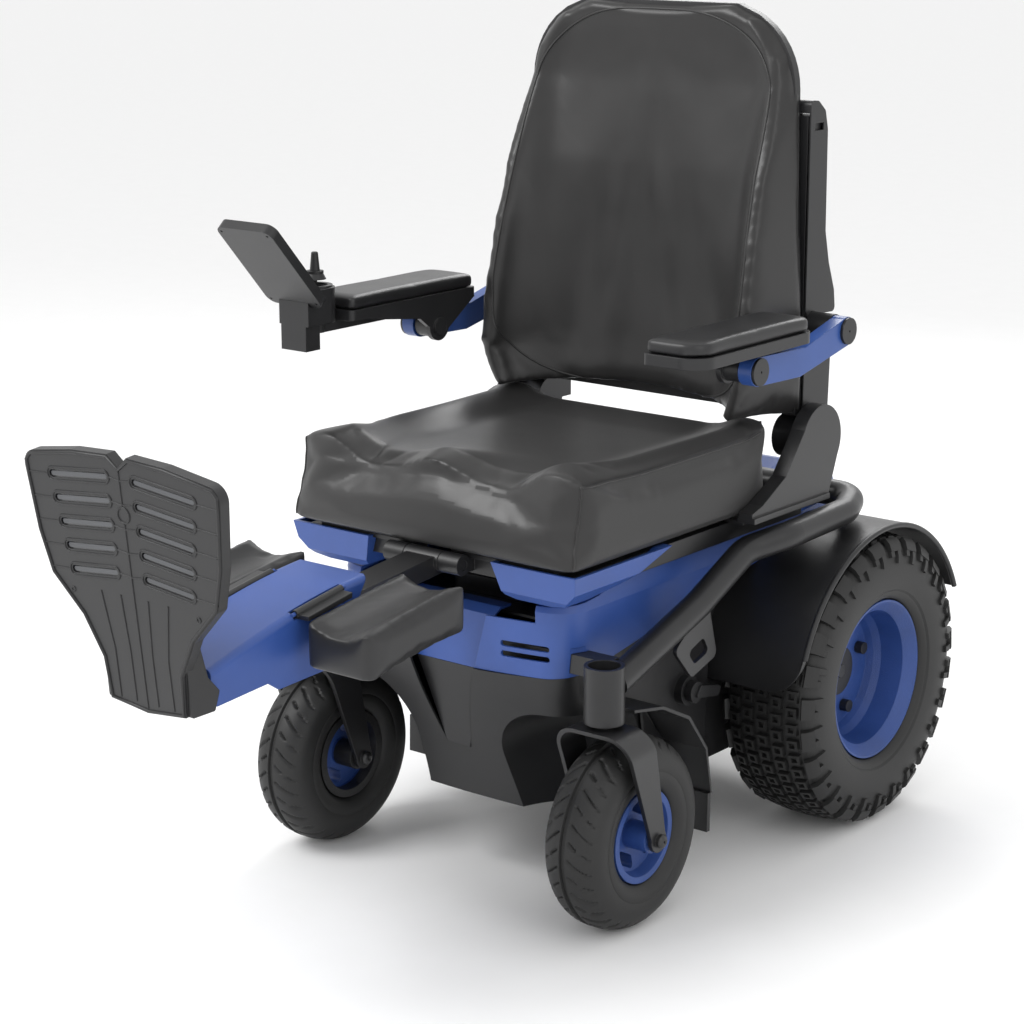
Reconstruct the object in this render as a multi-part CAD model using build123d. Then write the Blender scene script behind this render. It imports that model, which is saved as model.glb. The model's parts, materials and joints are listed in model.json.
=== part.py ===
"""Power wheelchair: a driven base on casters and drive wheels, with a lifting seat.

Millimetres. +X is the rider's left, +Y is rearward, +Z is up, and z = 0 is the floor.
Shapes are drawn about the middle of the wheelbase and moved by ORIGIN_SHIFT when they are
written, so that the origin is at the middle of the whole chair's footprint.
"""

import os
from math import cos, radians, sin

from build123d import *

os.makedirs("parts", exist_ok=True)

# ---- driving dimensions -------------------------------------------------------------------
ORIGIN_SHIFT = 30.4  # moves the drawing so that the chair is centred on y = 0
GAP = 0.3  # clearance between neighbouring pieces that do not bear on each other
RUNNING = 0.05  # radial clearance of a shaft in its bearing
SKIN = 4.0  # wall of the moulded covers

CASTER_X = 253.7
CASTER_Y = -90.0
SWIVEL_Y = -131.0
CASTER_R = 130.0
CASTER_Z = CASTER_R
CASTER_W = 88.0
CASTER_RIM_R = 63.0
FORK_TOP = 284.0
FORK_HALF = 60.0
FORK_T = 6.0
BARREL_R = 26.5
BARREL_Z = (290.0, 366.0)
STEM_R = 8.0
BEAM_Y = (-116.0, -88.0)
BEAM_Z = (338.0, 364.0)

DRIVE_Y = 441.0
DRIVE_R = 214.0
DRIVE_X = (186.0, 334.0)
DRIVE_RIM_R = 116.0
FENDER_R = 225.0
FENDER_T = 4.0
SHAFT_R = 10.0

BODY_FLOOR = 118.0
BODY_REAR = 575.0
BODY_STEP_Y = 197.0  # behind this the body narrows to pass between the drive wheels
BODY_REAR_HALF = 167.0
ARCH_R = 180.0
ARCH_TOP = 275.0
ARCH_ROUND = 75.0

TUBE_R = 19.0

COLUMN_Y = 0.0
LIFT = 250.0

SEAT_Z = 482.0  # top of the seat rails
PAN_T = 6.0
PAN_Y = (-165.0, 372.0)
RAIL_X = (203.0, 224.0)
CUSHION_HALF = 240.0
CUSHION_Y = (-183.0, 302.0)
CUSHION_Z = (490.5, 606.0)

RECLINE = (353.0, 575.0)  # y, z of the recline pivot
POST_X = (206.0, 236.0)

HEADREST_X = 60.0
HEADREST_Z = 20.0
HEADREST_HOLE_R = 3.2

ARM_REAR = (362.0, 731.0)
ARM_FRONT = (142.0, 708.0)
LINK_X = (279.0, 299.0)
PAD_X = (245.0, 333.0)
PAD_Y = (-45.0, 225.0)
PAD_Z = (740.0, 755.0, 773.0)

STICK = (-286.0, -74.0, 783.0)  # pivot of the joystick
POD_R = 27.0
CASE_TILT = 48.0
CASE_T = 14.0

LEG = (-180.0, 475.0)  # y, z of the legrest pivot
LEG_SLOPE = 5.5
LEG_TRAVEL = 80.0
FOOT = (-650.0, 425.0)  # y, z of the footplate hinge
CALF_HINGE = (58.5, 489.0)  # x, z of the calf pad hinge at its middle
CALF_Y = (-500.0, -322.0)
CALF_SLOPE = 9.2


# ---- helpers ------------------------------------------------------------------------------
def block(x, y, z):
    """A box between pairs of coordinates."""
    size = (x[1] - x[0], y[1] - y[0], z[1] - z[0])
    return Pos((x[0] + x[1]) / 2, (y[0] + y[1]) / 2, (z[0] + z[1]) / 2) * Box(*size)


def rod_x(x, y, z, radius):
    return Pos((x[0] + x[1]) / 2, y, z) * Rot(0, 90, 0) * Cylinder(radius, x[1] - x[0])


def rod_y(x, y, z, radius):
    return Pos(x, (y[0] + y[1]) / 2, z) * Rot(90, 0, 0) * Cylinder(radius, y[1] - y[0])


def rod_z(x, y, z, radius):
    return Pos(x, y, (z[0] + z[1]) / 2) * Cylinder(radius, z[1] - z[0])


def outline(points, radius=0):
    """A flat polygon with all its corners rounded."""
    face = make_face(Polyline(*points, close=True))
    return fillet(face.vertices(), radius) if radius else face


def side_plate(points, x, radius=0):
    """A (y, z) outline extruded along X."""
    return extrude(Plane.YZ.offset(x[0]) * outline(points, radius), x[1] - x[0])


def front_plate(points, y, radius=0):
    """An (x, z) outline extruded along Y, from y[0] to y[1]."""
    return extrude(Plane.XZ.offset(-y[1]) * outline(points, radius), y[1] - y[0])


def turned_x(points, y, z, arc=360):
    """A (radius, x) outline turned about an axle that lies along X."""
    face = Plane.XY * make_face(Polyline(*[(x, r) for r, x in points], close=True))
    return Pos(0, y, z) * revolve(face, Axis.X, arc)


def both(shape):
    """A piece and its mirror image on the other side of the chair."""
    return [shape, mirror(shape, about=Plane.YZ)]


def side(shape, name):
    return shape if name == "left" else mirror(shape, about=Plane.YZ)


def write(name, *pieces):
    solids = [solid for piece in pieces for solid in piece.solids()]
    placed = Compound(solids).moved(Location((0, ORIGIN_SHIFT, 0)))
    export_step(placed, f"parts/{name}.step")


# ---- body: sections through the moulded shell ------------------------------------------------
def body_section(z, half, front, bow, corner, inset):
    """One rounded plan section of the front body, bowed forward at its middle."""
    w = half - inset
    y = front + inset
    face = make_face(
        ThreePointArc((-w, y + bow), (0, y), (w, y + bow))
        + Polyline((w, y + bow), (w, BODY_STEP_Y - inset), (-w, BODY_STEP_Y - inset), (-w, y + bow))
    )
    corners = face.vertices().sort_by(Axis.Y)[:2]
    return Pos(0, 0, z) * fillet(corners, corner)


def lower_body(inset=0.0):
    """The lower body as a solid, smaller all round by the inset, with its caster arches."""
    sections = [
        body_section(BODY_FLOOR + inset, 186, -80, 12, 40, inset),
        body_section(200, 189, -114, 22, 48, inset),
        body_section(300, 193, -150, 30, 52, inset),
        body_section(412, 196, -153, 30, 52, inset),
    ]
    front = loft(sections)
    half = BODY_REAR_HALF - inset
    rear = block((-half, half), (100, BODY_REAR - inset), (BODY_FLOOR + inset, 412))
    rear = fillet(rear.edges().filter_by(Axis.Z).group_by(Axis.Y)[-1], 45 - inset)
    body = front + rear
    arch = rod_z(CASTER_X, SWIVEL_Y, (-50, ARCH_TOP + inset), ARCH_R + inset)
    arch = fillet(arch.edges().group_by(Axis.Z)[-1], ARCH_ROUND)
    for piece in both(arch):
        body -= piece
    return body


def upper_body(inset=0.0):
    """The upper body, which the blue covers are cut from."""

    def section(z, half, front, rear, corner):
        w = half - inset
        y = front + inset
        face = make_face(
            ThreePointArc((-w, y + 26), (0, y), (w, y + 26))
            + Polyline((w, y + 26), (w, rear - inset), (-w, rear - inset), (-w, y + 26))
        )
        ordered = face.vertices().sort_by(Axis.Y)
        face = fillet(ordered[:2], corner)
        face = fillet(face.vertices().sort_by(Axis.Y)[-2:], 70)
        return Pos(0, 0, z) * face

    levels = [
        section(296, 194, -151, 575, 52),
        section(420, 201, -156, 582, 46),
        section(500, 186, -136, 560, 40),
    ]
    return loft(levels, ruled=True)


BORDER = [(-200, 322), (-70, 337), (310, 400), (620, 400)]  # lower edge of the covers
CREST = [(620, 440), (560, 484), (520, 493), (488, 480), (474, 450), (390, 445), (0, 450), (-70, 434), (-200, 422)]


def cover_band(drop=0.0):
    """The slice of the upper body between the covers' lower and upper edges."""
    return side_plate(BORDER + [(y, z - drop) for y, z in CREST], (-230, 230))


def v_recess(grow=0.0):
    """The recess down the middle of the front, wider at the top."""
    half = [(20, 200), (85, 436)]
    points = [(-half[0][0] - grow, 200 - grow), (half[0][0] + grow, 200 - grow)]
    points += [(half[1][0] + grow, half[1][1]), (-half[1][0] - grow, half[1][1])]
    return front_plate(points, (-200, -90))


def below_border(grow):
    """The space under the covers' lower edge."""
    top = [(y, z - grow) for y, z in BORDER]
    return side_plate([(620, 0), (-200, 0)] + top, (-230, 230))


def lower_shell():
    shell = (lower_body() - lower_body(SKIN)) & below_border(GAP)
    shell -= v_recess(GAP)
    for hole in both(rod_x((150, 200), DRIVE_Y, DRIVE_R, 30)):
        shell -= hole
    for socket in both(rod_x((187, 204), 136, 252, 21)):
        shell += socket
    return shell


def front_panel():
    """The recessed lower middle panel, flush at its foot and set back at its top."""
    face = [(-115.5, 200), (-137, 322), (-132, 322), (-108, 200)]
    return side_plate(face, (-90, 90)) & v_recess(-GAP)


def front_cover():
    face = [(-137, 322.5), (-131, 398), (-120, 408), (-98, 408), (-98, 404), (-118, 404), (-127, 396), (-132, 322.5)]
    return side_plate(face, (-90, 90)) & v_recess(-GAP)


def vent_slots():
    slots = [front_plate([(98, z), (168, z), (168, z + 8), (98, z + 8)], (-200, -90), 3.9) for z in (352, 366)]
    return slots[0] + slots[1]


def covers():
    shell = (upper_body() & cover_band()) - (upper_body(SKIN) & cover_band(SKIN))
    shell -= v_recess(GAP)
    shell -= block((-150, 150), (-200, 462), (404, 520))
    for notch in both(rod_z(CASTER_X, SWIVEL_Y, (280, 372), 66)):
        shell -= notch
    for slots in both(vent_slots()):
        shell -= slots
    for space in both(wheel_space(GAP)):
        shell -= space
    for beam in both(block((160, 230), (BEAM_Y[0] - GAP, BEAM_Y[1] + GAP), (BEAM_Z[0] - GAP, BEAM_Z[1] + GAP))):
        shell -= beam
    return shell


def side_cover():
    keep = block((GAP, 260), (-200, 470), (300, 520))
    return covers() & keep


def rear_cover():
    return covers() & block((-260, 260), (470 + GAP, 640), (300, 520))


def top_deck():
    """The tray that closes the body under the seat, with the lift column's opening."""
    deck = block((-188, 188), (-96, 560), (392, 396))
    deck = fillet(deck.edges().filter_by(Axis.Z), 20)
    deck -= block((-62, 62), (COLUMN_Y - 57, COLUMN_Y + 57), (380, 400))
    return deck & lower_body(SKIN + GAP)


# ---- fixed parts of the base ---------------------------------------------------------------
HOOP = [  # the tube's bends on one side, from the caster barrel to the rear
    (CASTER_X, -108, 337),
    (CASTER_X, 77, 398),
    (CASTER_X, 190, 449),
    (283, 250, 462),
    (283, 400, 466),
    (262, 456, 474),
]


def hoop_path():
    left = [Vector(*point) for point in HOOP]
    right = [Vector(-p.X, p.Y, p.Z) for p in reversed(left)]
    bends = [200, 55, 55, 60, 38]
    return FilletPolyline(*left, *right, radius=bends + bends[::-1])


def frame_hoop():
    path = hoop_path()
    ring = Circle(TUBE_R) - Circle(TUBE_R - 3)
    start = Plane(origin=path @ 0, z_dir=path % 0)
    tube = sweep(start * ring, path=path)
    for barrel in both(rod_z(CASTER_X, SWIVEL_Y, (280, 380), BARREL_R + 0.02)):
        tube -= barrel
    return tube


def caster_barrel():
    barrel = rod_z(CASTER_X, SWIVEL_Y, BARREL_Z, BARREL_R)
    barrel -= rod_z(CASTER_X, SWIVEL_Y, (289, 345), 17)
    barrel -= rod_z(CASTER_X, SWIVEL_Y, (345, 380), 21)
    bearings = []
    for z in (292, 330):
        ring = rod_z(CASTER_X, SWIVEL_Y, (z, z + 12), 16.95)
        bearings.append(ring - rod_z(CASTER_X, SWIVEL_Y, (280, 380), STEM_R + RUNNING))
    return [barrel] + bearings


def front_beam():
    """The cross beam inside the body that carries both swivel barrels."""
    beam = block((-245, 245), BEAM_Y, BEAM_Z)
    for barrel in both(rod_z(CASTER_X, SWIVEL_Y, (280, 380), BARREL_R + 0.02)):
        beam -= barrel
    direction = Vector(*HOOP[1]) - Vector(*HOOP[0])
    for tube in both(Plane(origin=Vector(*HOOP[0]), z_dir=direction) * Cylinder(TUBE_R + 0.1, 160)):
        beam -= tube
    return beam


def base_tray():
    """The floor of the chassis with its two rails."""
    floor = block((-158, 158), (66, 545), (124, 130))
    floor = fillet(floor.edges().filter_by(Axis.Z), 20)
    tray = floor + block((-61, 61), (-56, 70), (124, 130))
    for rail in both(block((146, 156), (90, 520), (130, 150))):
        tray += rail
    tray += block((-61, 61), (COLUMN_Y - 56, COLUMN_Y + 56), (130, 134))
    return tray


def caster_guard():
    """The mudguard strip behind a caster with its rubber flap."""
    face = [(-84, 292), (-20, 280), (40, 250), (82, 196), (96, 130), (99, 130), (86, 198), (43, 254), (-18, 284), (-84, 296)]
    strip = side_plate(face, (196, 268))
    web = side_plate([(30, 256), (82, 196), (96, 140), (60, 140), (40, 200)], (193.6, 198))
    flap = side_plate([(92, 129.5), (99, 129.5), (98, 74), (91, 74)], (200, 266))
    return [strip + web, flap]


def wheel_space(clear):
    """The room kept for a drive wheel and its mudguard, out to a radius."""
    return rod_x((BODY_REAR_HALF, 340), DRIVE_Y, DRIVE_R, FENDER_R + FENDER_T + clear)


def fender():
    """A rear mudguard with a rolled lip, concentric with the drive wheel."""
    start = 25
    arc = 147
    outer = FENDER_R + FENDER_T
    inboard = BODY_REAR_HALF + GAP
    guard = turned_x([(FENDER_R, inboard), (outer, inboard), (outer, 328), (FENDER_R, 328)], 0, 0, arc)
    guard += revolve(Pos(328, FENDER_R + 1) * Circle(4), Axis.X, arc)
    guard = Pos(0, DRIVE_Y, DRIVE_R) * Rot(start, 0, 0) * guard
    corner = block((278, 345), (150, 260), (200, 296)) - rod_y(278, (140, 270), 296, 50)
    return guard - corner


def tie_down_ring():
    """A slotted plate welded under the side tube, for tying the chair down in a vehicle."""
    plate = side_plate([(98, 402), (21, 346), (62, 300), (121, 318)], (250.7, 256.7), 10)
    plate -= side_plate([(88, 350), (52, 337), (68, 318), (102, 328)], (240, 270), 7)
    tube = Plane(origin=Vector(*HOOP[1]), z_dir=Vector(*HOOP[2]) - Vector(*HOOP[1]))
    return plate - tube * Cylinder(TUBE_R + 0.02, 220)


def freewheel_lever():
    """The lever that releases a motor's brake; it turns about its hub."""
    hub = rod_x((204.4, 216), 136, 252, 15)
    wing = side_plate([(128, 246), (184, 236), (188, 250), (140, 262)], (208, 220), 4)
    return hub + wing


def batteries():
    battery = block((3, 142), (80, 330), (131, 326))
    battery = fillet(battery.edges().filter_by(Axis.Z), 6)
    battery += rod_z(40, 110, (326, 336), 8)
    battery += rod_z(105, 110, (326, 336), 8)
    return both(battery)


def drive_motor():
    """A motor in line with its gearbox, whose bearing carries the wheel's shaft."""
    motor = rod_x((4, 92), DRIVE_Y, DRIVE_R, 46)
    gearbox = rod_x((92, 162), DRIVE_Y, DRIVE_R, 58)
    foot = block((20, 143), (DRIVE_Y - 40, DRIVE_Y + 40), (130, DRIVE_R))
    unit = motor + gearbox + foot
    return unit - rod_x((120, 170), DRIVE_Y, DRIVE_R, SHAFT_R + RUNNING)


def controller():
    box = block((-110, 110), (90, 320), (344, 384))
    for n in range(9):
        x = -96 + 24 * n
        box -= block((x - 4, x + 4), (100, 310), (376, 390))
    return box


def column_tube(size_x, size_y, z, wall):
    tube = block((-size_x / 2, size_x / 2), (COLUMN_Y - size_y / 2, COLUMN_Y + size_y / 2), z)
    tube = fillet(tube.edges().filter_by(Axis.Z), 10)
    inside = block(
        (-size_x / 2 + wall, size_x / 2 - wall),
        (COLUMN_Y - size_y / 2 + wall, COLUMN_Y + size_y / 2 - wall),
        (z[0] - 1, z[1] + 1),
    )
    return tube - fillet(inside.edges().filter_by(Axis.Z), 10 - wall + 1.0)


def base_bolts():
    """Cap screws that hold the deck."""
    bolts = []
    for y in (120, 300, 520):
        bolts += both(rod_z(140, y, (396, 400), 5))
    return bolts


# ---- casters -------------------------------------------------------------------------------
def caster_fork():
    leg = [(-163, FORK_TOP), (-106, FORK_TOP), (-100, 262), (CASTER_Y + 15, CASTER_Z), (CASTER_Y - 15, CASTER_Z), (-146, 240)]
    tip = rod_x((CASTER_X - FORK_HALF, CASTER_X + FORK_HALF), CASTER_Y, CASTER_Z, 16)
    bar = side_plate(leg, (CASTER_X - FORK_HALF, CASTER_X + FORK_HALF)) + tip
    outer = [(-FORK_HALF, 60), (FORK_HALF, 60), (FORK_HALF, FORK_TOP), (-FORK_HALF, FORK_TOP)]
    hoop_outer = front_plate([(x + CASTER_X, z) for x, z in outer], (-200, 0), 34)
    w = FORK_HALF - FORK_T
    inner = [(-w, 40), (w, 40), (w, FORK_TOP - FORK_T), (-w, FORK_TOP - FORK_T)]
    hoop_inner = front_plate([(x + CASTER_X, z) for x, z in inner], (-200, 0), 28)
    fork = (bar & hoop_outer) - hoop_inner
    fork += rod_z(CASTER_X, SWIVEL_Y, (FORK_TOP, FORK_TOP + 5.5), 12)
    fork += rod_z(CASTER_X, SWIVEL_Y, (FORK_TOP, 345), STEM_R)
    fork += rod_z(CASTER_X, SWIVEL_Y, (345, 354), 13)
    fork += rod_z(CASTER_X, SWIVEL_Y, (270, FORK_TOP - FORK_T), 6)
    return fork - rod_x((CASTER_X - 70, CASTER_X + 70), CASTER_Y, CASTER_Z, 5.1)


def caster_axle():
    axle = rod_x((CASTER_X - 68, CASTER_X + 64), CASTER_Y, CASTER_Z, 5)
    for x in (CASTER_X - 65, CASTER_X + FORK_HALF):
        axle += rod_x((x, x + 5), CASTER_Y, CASTER_Z, 9)
    return axle


def caster_tyre():
    w = CASTER_W / 2
    r = CASTER_RIM_R
    section = [(r + 0.1, -30), (r + 12, -w + 5), (r + 30, -w), (104, -w + 1), (120, -34), (127, -20)]
    section += [(CASTER_R, -6), (CASTER_R, 6)]
    mirrored = [(a, -x) for a, x in reversed(section[:-2])]
    face_points = [(a, x + CASTER_X) for a, x in section + mirrored]
    return turned_x(face_points, CASTER_Y, CASTER_Z)


def caster_rim():
    """A dished rim with four kidney pockets, hub and bearing bore."""
    hub = 19
    half = 36
    face = [(STEM_R + 2, -50), (hub, -50), (hub, -14), (52, -14), (52, -half), (CASTER_RIM_R, -half)]
    face += [(CASTER_RIM_R, half), (54, half), (50, 20), (hub, 14), (hub, 50), (STEM_R + 2, 50)]
    rim = turned_x([(r, x + CASTER_X) for r, x in face], CASTER_Y, CASTER_Z)
    for n in range(4):
        pocket = side_plate([(-14, 27), (14, 27), (22, 44), (-22, 44)], (CASTER_X - 60, CASTER_X + 60), 5)
        rim -= Pos(0, CASTER_Y, CASTER_Z) * Rot(90 * n + 62, 0, 0) * pocket
    bearings = []
    for x in (-50, 38):
        ring = rod_x((CASTER_X + x, CASTER_X + x + 12), CASTER_Y, CASTER_Z, STEM_R + 1.95)
        bearings.append(ring - rod_x((100, 400), CASTER_Y, CASTER_Z, 5 + RUNNING))
    return [rim] + bearings


# ---- drive wheels ----------------------------------------------------------------------------
def drive_tyre():
    middle = (DRIVE_X[0] + DRIVE_X[1]) / 2
    w = (DRIVE_X[1] - DRIVE_X[0]) / 2
    section = [(DRIVE_RIM_R + 0.3, -w + 12), (128, -w + 3), (160, -w), (192, -w + 2), (207, -w + 12), (DRIVE_R, -w + 40)]
    mirrored = [(a, -x) for a, x in reversed(section)]
    return turned_x([(a, x + middle) for a, x in section + mirrored], DRIVE_Y, DRIVE_R)


def drive_rim():
    face = [(36, 246), (36, 252), (84, 252), (88, 262), (94, 272), (98, 306), (DRIVE_RIM_R - 3, 321)]
    face += [(DRIVE_RIM_R, 321), (DRIVE_RIM_R, 198), (104, 198), (98, 206), (92, 240), (84, 246)]
    rim = turned_x(face, DRIVE_Y, DRIVE_R)
    for n in range(4):
        angle = radians(90 * n + 20)
        rim -= rod_x((240, 260), DRIVE_Y + 62 * cos(angle), DRIVE_R + 62 * sin(angle), 5.2)
    return rim


def drive_hub():
    """The hub with its shaft, and the wheel nuts."""
    hub = rod_x((192, 245.8), DRIVE_Y, DRIVE_R, 42) + rod_x((245, 258), DRIVE_Y, DRIVE_R, 35.8)
    hub += rod_x((172, 192), DRIVE_Y, DRIVE_R, 24)
    hub += rod_x((128, 262), DRIVE_Y, DRIVE_R, SHAFT_R)
    flange = rod_x((232, 245.8), DRIVE_Y, DRIVE_R, 76)
    nuts = []
    for n in range(4):
        angle = radians(90 * n + 20)
        y = DRIVE_Y + 62 * cos(angle)
        z = DRIVE_R + 62 * sin(angle)
        nuts.append(rod_x((252.2, 264), y, z, 9) + rod_x((245.8, 252.2), y, z, 5))
    return [hub + flange] + nuts


# ---- seat ------------------------------------------------------------------------------------
def seat_frame():
    """Rails, cross rails, pan, legrest lugs and the column's head plate."""
    frame = block((-198, 198), PAN_Y, (SEAT_Z, SEAT_Z + PAN_T))
    for rail in both(block(RAIL_X, (-150, 378), (SEAT_Z - 25, SEAT_Z))):
        frame += rail
    for y in ((-158, -142), (352, 378)):
        frame += block((-RAIL_X[1], RAIL_X[1]), y, (SEAT_Z - 22, SEAT_Z))
    frame += block((-80, 80), (COLUMN_Y - 70, COLUMN_Y + 70), (458, SEAT_Z))
    frame += block((-205, 205), (COLUMN_Y - 15, COLUMN_Y + 15), (464, SEAT_Z))
    for lug in both(rod_x((30, 63), *LEG, 14) + block((30, 63), (-180, -150), (464, SEAT_Z))):
        frame += lug
    frame -= block((-30, 30), (-200, -140), (450, 492))
    return frame - rod_x((-70, 70), *LEG, 7 + RUNNING)


def seat_bowl(inset):
    """The space of a front corner cover, smaller on its five closed sides by the inset."""
    top = 486 + 2 * inset
    face = [(104 + inset, top), (240 - inset, top), (236 - inset, 462), (214 - inset, 442 + inset)]
    face += [(190, 437 + inset), (132, 437 + inset), (117 + inset, 442 + inset)]
    profile = [(-176 + inset, top), (-168 + inset, 448), (-156 + inset, 436 + inset)]
    profile += [(-140, 436 + inset), (-60, 452 + inset), (36 - inset, top)]
    return front_plate(face, (-190, 50)) & side_plate(profile, (90, 260))


def seat_cover():
    """A bowl-shaped cover on a front corner of the seat frame."""
    cover = seat_bowl(0) - seat_bowl(SKIN)
    cover -= block((90, 198 + GAP), (PAN_Y[0] - GAP, 80), (SEAT_Z - GAP, 500))
    cover -= block((RAIL_X[0] - GAP, RAIL_X[1] + GAP), (-120, 80), (SEAT_Z - 25 - GAP, 500))
    cover -= block((90, 130), (-158 - GAP, -142 + GAP), (SEAT_Z - 22 - GAP, 500))
    cover -= block((90, RAIL_X[1] + GAP), (COLUMN_Y - 15 - GAP, COLUMN_Y + 15 + GAP), (450, 500))
    return cover.solids().sort_by(SortBy.VOLUME)[-1]


def cushion():
    body = block((-CUSHION_HALF, CUSHION_HALF), CUSHION_Y, CUSHION_Z)
    body = fillet(body.edges().filter_by(Axis.Z), 26)
    return fillet(body.edges().group_by(Axis.Z)[-1], 9)


def recline_bracket():
    """The side bracket that carries the backrest's recline pivot."""
    y, z = RECLINE
    head = rod_x((248, 270), y, z, 50)
    arm = side_plate([(180, 489), (372, 489), (y + 46, z - 18), (y - 30, z + 40), (262, 540), (205, 510), (180, 503)], (248, 270))
    bracket = head + arm
    bead = side_plate([(180, 489), (372, 489), (371, 497), (180, 497)], (246, 274))
    foot = block((200, 248), (192, 362), (SEAT_Z, SEAT_Z + PAN_T))
    bracket = bracket + bead + foot
    return bracket - rod_x((240, 262.5), y, z, 10 + RUNNING)


# ---- backrest --------------------------------------------------------------------------------
BACK_REAR = 346.5
BACK_LEVELS = [  # z, rim y, rim half-width, depth of the hollow
    (596, 216, 228, 98),
    (680, 211, 227, 100),
    (770, 219, 225, 94),
    (860, 238, 220, 78),
    (940, 262, 216, 52),
    (1060, 311, 214, 9),
    (1180, 325, 212, 2),
]
BACK_PAD_T = 10.0


def back_block():
    sections = []
    for z, rim, half, _ in BACK_LEVELS:
        wide = half + 13
        face = outline([(-half, rim), (half, rim), (wide, BACK_REAR), (-wide, BACK_REAR)])
        rear = face.vertices().sort_by(Axis.Y)[-2:]
        sections.append(Pos(0, 0, z) * fillet(rear, 4))
    solid = loft(sections)
    half = [(206, 609), (241, 680), (241, 900), (237, 1050), (229, 1168)]
    face = outline(half + [(-x, z) for x, z in reversed(half)])
    face = fillet(face.vertices().group_by(Axis.Y)[-1], 104)
    face = fillet(face.vertices().group_by(Axis.Y)[0], 30)
    return solid & extrude(Plane.XZ.offset(-400) * face, 240)


def back_hollow(deeper=0.0):
    """The space in front of the backrest's padding, as elliptical sections."""
    sections = []
    for z, rim, half, depth in BACK_LEVELS:
        sections.append(Pos(0, rim, z) * Ellipse(half - 15 + deeper * 0.3, depth + deeper))
    return loft(sections)


def back_cushion():
    return (back_block() & back_hollow(BACK_PAD_T)) - back_hollow()


def back_shell():
    return back_block() - back_hollow(BACK_PAD_T + GAP)


def back_frame():
    """Two uprights with cross members, recline lugs and armrest drums."""
    y, z = RECLINE
    frame = block((-POST_X[0] - 1, POST_X[0] + 1), (348, 372), (650, 690))
    frame += block((-POST_X[0] - 1, POST_X[0] + 1), (348, 372), (950, 990))
    for post in both(block(POST_X, (348, 404), (570, 742)) + block(POST_X, (348, 384), (742, 1020))):
        frame += post
    for lug in both(rod_x((POST_X[0], 246), y, z, 30)):
        frame += lug
    for drum in both(rod_x((POST_X[1] - 4, 244), *ARM_REAR, 13) + rod_x((243, 278.7), *ARM_REAR, 21)):
        frame += drum
    for pin in both(rod_x((240, 262), y, z, 10)):
        frame += pin
    for pin in both(rod_x((277, LINK_X[1] + GAP), *ARM_REAR, 6) + end_cap(*ARM_REAR)):
        frame += pin
    for x in (-HEADREST_X / 2, HEADREST_X / 2):
        for z in (970 - HEADREST_Z / 2, 970 + HEADREST_Z / 2):
            frame -= rod_y(x, (340, 380), z, HEADREST_HOLE_R)
    return frame


def post_covers():
    """Moulded covers over an upright: a short one below the armrest and a long one above."""
    lower = side_plate([(347, 600), (412, 600), (417, 735), (347, 735)], (202, 241), 3)
    flare = [(347, 748), (424, 744), (420, 775), (404, 815), (393, 860)]
    crown = [(391, 1000), (384, 1026), (366, 1040), (347, 1042)]
    upper = side_plate(flare + crown, (202, 241), 7)
    upper -= block((236, 250), (358, 380), (1000, 1010))
    room = [(346, 742), (418, 742), (414, 773), (399, 813), (387, 860), (387, 1024), (346, 1024)]
    hollow = block((204, 238.5), (346, 406), (540, 742)) + side_plate(room, (204, 238.5))
    cross = block((0, 210), (340, 374), (940, 1000)) + block((0, 210), (340, 374), (640, 700))
    drum = rod_x((190, 260), *ARM_REAR, 21 + GAP)
    lug = rod_x((190, 260), *RECLINE, 30 + GAP)
    return [cover - hollow - cross - drum - lug for cover in (lower, upper)]


# ---- armrests --------------------------------------------------------------------------------
def arm_link():
    centre = [ARM_REAR, (246, 705), ARM_FRONT]
    half = 19.5
    points = [(362, 731 + half), (256, 705 + half - 1), (142, 708 + half), (142, 708 - half), (244, 705 - half), (370, 731 - half)]
    link = side_plate(points, LINK_X)
    for y, z in (centre[0], centre[2]):
        link += rod_x(LINK_X, y, z, half)
    link -= rod_x((270, 310), *ARM_REAR, 6 + RUNNING)
    link -= rod_x((270, 310), *ARM_FRONT, 5 + RUNNING)
    return link


def end_cap(y, z):
    """The round cap on the end of an armrest pin."""
    x = LINK_X[1] + GAP
    return rod_x((x, x + 4), y, z, 18.5) - rod_x((x + 1, x + 5), y, z, 1.6)


def pad_plan(z, thickness, margin):
    x0 = PAD_X[0] + margin
    x1 = PAD_X[1] - margin
    y0 = PAD_Y[0] + margin
    y1 = PAD_Y[1] - margin
    face = outline([(x0, y0), (x1, y0), (x1, y1), (x0, y1)])
    corners = face.vertices()
    face = fillet([v for v in corners if v.X < 290], 7)
    face = fillet(face.vertices().group_by(Axis.Y)[0].sort_by(Axis.X)[-1:], 34)
    face = fillet(face.vertices().group_by(Axis.Y)[-1].sort_by(Axis.X)[-1:], 20)
    return extrude(Pos(0, 0, z) * face, thickness)


def arm_tray():
    tray = pad_plan(PAD_Z[0], PAD_Z[1] - PAD_Z[0], 0)
    y, z = ARM_FRONT
    gusset = side_plate([(-38, PAD_Z[0] + 2), (100, 724), (y - 20, z), (y + 20, z - 6), (222, PAD_Z[0] + 2)], (PAD_X[0], 253))
    gusset += rod_x((PAD_X[0], 253), y, z, 21)
    drum = rod_x((253, LINK_X[0] - 2), y, z, 17)
    pin = rod_x((250, LINK_X[1] + GAP), y, z, 5) + end_cap(y, z)
    cap = rod_x((PAD_X[0] - 3, PAD_X[0]), y, z, 13)
    return tray + gusset + drum + pin + cap


def arm_cushion():
    pad = pad_plan(PAD_Z[1] + GAP, PAD_Z[2] - PAD_Z[1] - GAP, 2)
    return fillet(pad.edges().group_by(Axis.Z)[-1], 5)


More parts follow.
